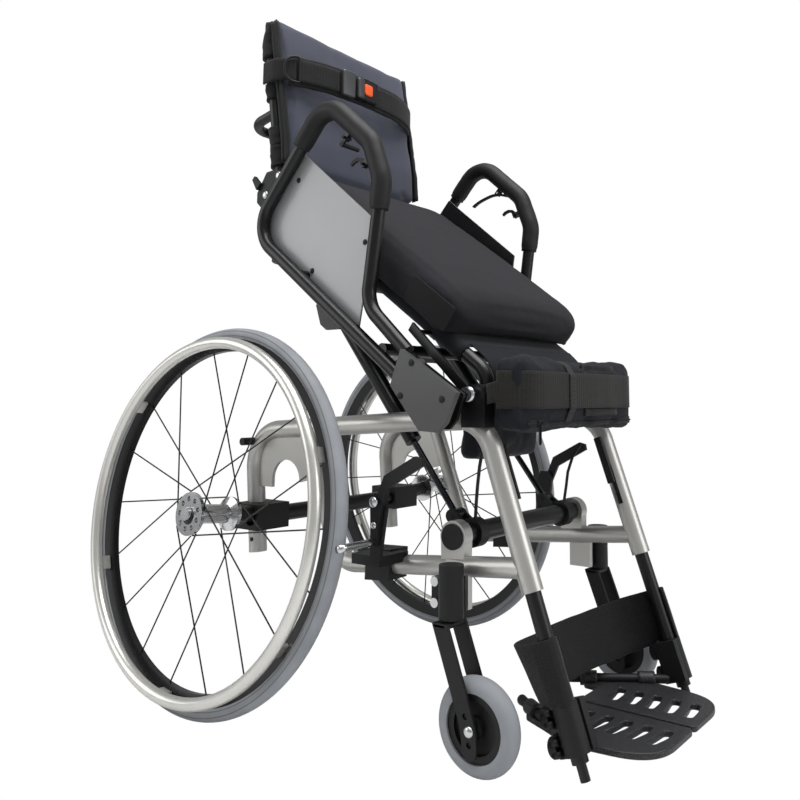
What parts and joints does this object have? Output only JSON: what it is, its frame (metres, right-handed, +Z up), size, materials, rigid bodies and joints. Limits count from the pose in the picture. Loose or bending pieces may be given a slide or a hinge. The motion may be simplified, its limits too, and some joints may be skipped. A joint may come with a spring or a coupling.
{
  "type": "standing_wheelchair",
  "caption": "Manual standing wheelchair, half risen: silver tube frame, leaning spoked wheels, swivel casters, lifting seat and arms on gas springs, upright back, knee pad and footrest.",
  "frame": {"origin": "On the floor under the middle of the overall box", "axes": "+Z up, -Y the way the occupant faces, +X to the occupant's left"},
  "size_m": [0.6992, 0.986, 1.18],
  "materials": {
    "frame_silver": "satin silver",
    "black_paint": "semi-gloss black",
    "black_plastic": "fine grain black",
    "panel_grey": "dark grey, slightly glossy",
    "steel": "bright",
    "grey_tyre": "grey rubber",
    "caster_rubber": "dark grey rubber",
    "navy_fabric": "dark navy woven cloth",
    "black_webbing": "black webbing",
    "foam": "black closed-cell foam",
    "orange_plastic": "orange-red"
  },
  "bodies": {
    "chassis": {"right_side_frame": "frame_silver", "left_side_frame": "frame_silver", "cross_tube": "black_paint", "end_caps": "black_plastic", "axle_bar": "black_paint", "axle_clamps": "black_paint", "caster_housings": "black_plastic", "spring_clamps": "black_paint", "brake_brackets": "black_paint", "knee_brackets": "black_paint", "frame_bolts": "steel", "knee_pad": "navy_fabric", "release_cables": "black_plastic"},
    "right_wheel": {"right_tyre": "grey_tyre", "right_rim": "black_paint", "right_spokes": "black_paint", "right_hub": "steel", "right_handrim": "steel"},
    "left_wheel": {"left_tyre": "grey_tyre", "left_rim": "black_paint", "left_spokes": "black_paint", "left_hub": "steel", "left_handrim": "steel"},
    "right_fork": {"right_caster_fork": "steel"},
    "left_fork": {"left_caster_fork": "steel"},
    "right_caster": {"right_caster_tyre": "caster_rubber", "right_caster_hub": "black_plastic"},
    "left_caster": {"left_caster_tyre": "caster_rubber", "left_caster_hub": "black_plastic"},
    "right_brake": {"right_brake_lever": "black_paint"},
    "left_brake": {"left_brake_lever": "black_paint"},
    "seat": {"seat_frame": "black_paint", "seat_sling": "navy_fabric", "seat_cushion": "navy_fabric"},
    "arms": {"right_arm_frame": "black_paint", "left_arm_frame": "black_paint", "arm_cross_tubes": "black_paint", "arm_pads": "foam", "side_panels": "panel_grey", "pivot_covers": "black_plastic"},
    "right_release_long": {"right_long_lever": "black_plastic"},
    "right_release_short": {"right_short_lever": "black_plastic"},
    "left_release_long": {"left_long_lever": "black_plastic"},
    "left_release_short": {"left_short_lever": "black_plastic"},
    "back_carrier": {"back_brackets": "black_paint"},
    "back": {"back_frame": "black_paint", "back_upholstery": "navy_fabric", "chest_belt": "black_webbing", "belt_buckle": "black_plastic"},
    "button": {"buckle_button": "orange_plastic"},
    "right_rod": {"right_spring_rod": "steel"},
    "left_rod": {"left_spring_rod": "steel"},
    "right_cylinder": {"right_spring_cylinder": "black_paint"},
    "left_cylinder": {"left_spring_cylinder": "black_paint"},
    "footrest": {"foot_posts": "black_paint", "footrest_bars": "black_paint", "calf_strap": "black_webbing"},
    "right_plate": {"right_footplate": "black_plastic"},
    "left_plate": {"left_footplate": "black_plastic"}
  },
  "joints": [
    {"name": "lift", "type": "hinge", "parent": "chassis", "child": "seat", "pos_m": [0, -0.255, 0.486], "axis": [1, 0, 0], "range_deg": [-36, 40]},
    {"name": "arm_lift", "type": "hinge", "parent": "chassis", "child": "arms", "pos_m": [0, -0.22, 0.452], "axis": [1, 0, 0], "range_deg": [-36.1, 40.1]},
    {"name": "back_level", "type": "hinge", "parent": "arms", "child": "back_carrier", "pos_m": [0, 0.14805, 0.75525], "axis": [1, 0, 0], "range_deg": [-40.1, 36.1]},
    {"name": "recline", "type": "hinge", "parent": "back_carrier", "child": "back", "pos_m": [0, 0.187, 0.868], "axis": [1, 0, 0], "range_deg": [-15, 4]},
    {"name": "right_wheel_spin", "type": "hinge", "parent": "chassis", "child": "right_wheel", "pos_m": [-0.28, 0.193, 0.29832], "axis": [-0.9942, 0, 0.108], "continuous": true},
    {"name": "right_swivel", "type": "hinge", "parent": "chassis", "child": "right_fork", "pos_m": [-0.21, -0.239, 0.2], "axis": [0, 0, 1], "continuous": true},
    {"name": "right_caster_spin", "type": "hinge", "parent": "right_fork", "child": "right_caster", "pos_m": [-0.21, -0.285, 0.062], "axis": [1, 0, 0], "continuous": true},
    {"name": "right_brake_turn", "type": "hinge", "parent": "chassis", "child": "right_brake", "pos_m": [-0.235, -0.123, 0.335], "axis": [1, 0, 0], "range_deg": [-35, 7]},
    {"name": "right_long_squeeze", "type": "hinge", "parent": "arms", "child": "right_release_long", "pos_m": [-0.212, -0.025, 0.892], "axis": [1, 0, 0], "range_deg": [0, 10], "stiffness_Nm_per_rad": 0.4},
    {"name": "right_short_squeeze", "type": "hinge", "parent": "arms", "child": "right_release_short", "pos_m": [-0.212, -0.067, 0.8415], "axis": [1, 0, 0], "range_deg": [0, 10], "stiffness_Nm_per_rad": 0.4},
    {"name": "right_spring_swing", "type": "hinge", "parent": "chassis", "child": "right_rod", "pos_m": [-0.125, -0.182, 0.309], "axis": [1, 0, 0], "range_deg": [-27.33, 30.36]},
    {"name": "right_spring_stroke", "type": "slide", "parent": "right_rod", "child": "right_cylinder", "axis": [0, 0.6235, 0.7818], "range_m": [-0.0594, 0.066]},
    {"name": "right_plate_flip", "type": "hinge", "parent": "footrest", "child": "right_plate", "pos_m": [-0.148, -0.392, 0.045], "axis": [-0.5377, -0.8432, 0], "range_deg": [0, 30]},
    {"name": "left_wheel_spin", "type": "hinge", "parent": "chassis", "child": "left_wheel", "pos_m": [0.28, 0.193, 0.29832], "axis": [0.9942, 0, 0.108], "continuous": true},
    {"name": "left_swivel", "type": "hinge", "parent": "chassis", "child": "left_fork", "pos_m": [0.21, -0.239, 0.2], "axis": [0, 0, 1], "continuous": true},
    {"name": "left_caster_spin", "type": "hinge", "parent": "left_fork", "child": "left_caster", "pos_m": [0.21, -0.285, 0.062], "axis": [1, 0, 0], "continuous": true},
    {"name": "left_brake_turn", "type": "hinge", "parent": "chassis", "child": "left_brake", "pos_m": [0.235, -0.123, 0.335], "axis": [1, 0, 0], "range_deg": [-35, 7]},
    {"name": "left_long_squeeze", "type": "hinge", "parent": "arms", "child": "left_release_long", "pos_m": [0.212, -0.025, 0.892], "axis": [1, 0, 0], "range_deg": [0, 10], "stiffness_Nm_per_rad": 0.4},
    {"name": "left_short_squeeze", "type": "hinge", "parent": "arms", "child": "left_release_short", "pos_m": [0.212, -0.067, 0.8415], "axis": [1, 0, 0], "range_deg": [0, 10], "stiffness_Nm_per_rad": 0.4},
    {"name": "left_spring_swing", "type": "hinge", "parent": "chassis", "child": "left_rod", "pos_m": [0.125, -0.182, 0.309], "axis": [1, 0, 0], "range_deg": [-27.33, 30.36]},
    {"name": "left_spring_stroke", "type": "slide", "parent": "left_rod", "child": "left_cylinder", "axis": [0, 0.6235, 0.7818], "range_m": [-0.0594, 0.066]},
    {"name": "left_plate_flip", "type": "hinge", "parent": "footrest", "child": "left_plate", "pos_m": [0.148, -0.392, 0.045], "axis": [-0.5377, 0.8432, 0], "range_deg": [0, 30]},
    {"name": "button_press", "type": "slide", "parent": "back", "child": "button", "axis": [0, 1, 0], "range_m": [0, 0.003], "stiffness_N_per_m": 120},
    {"name": "foot_slide", "type": "slide", "parent": "chassis", "child": "footrest", "axis": [0, -0.33, -0.944], "range_m": [-0.0118, 0.0131]}
  ],
  "couplings": [
    {"joint": "arm_lift", "follows": "lift", "ratio": 1},
    {"joint": "back_level", "follows": "lift", "ratio": -1},
    {"joint": "foot_slide", "follows": "lift", "m_per_rad": 0.0186},
    {"joint": "right_spring_swing", "follows": "lift", "ratio": 0.757},
    {"joint": "right_spring_stroke", "follows": "lift", "m_per_rad": 0.0943},
    {"joint": "left_spring_swing", "follows": "lift", "ratio": 0.757},
    {"joint": "left_spring_stroke", "follows": "lift", "m_per_rad": 0.0943}
  ]
}
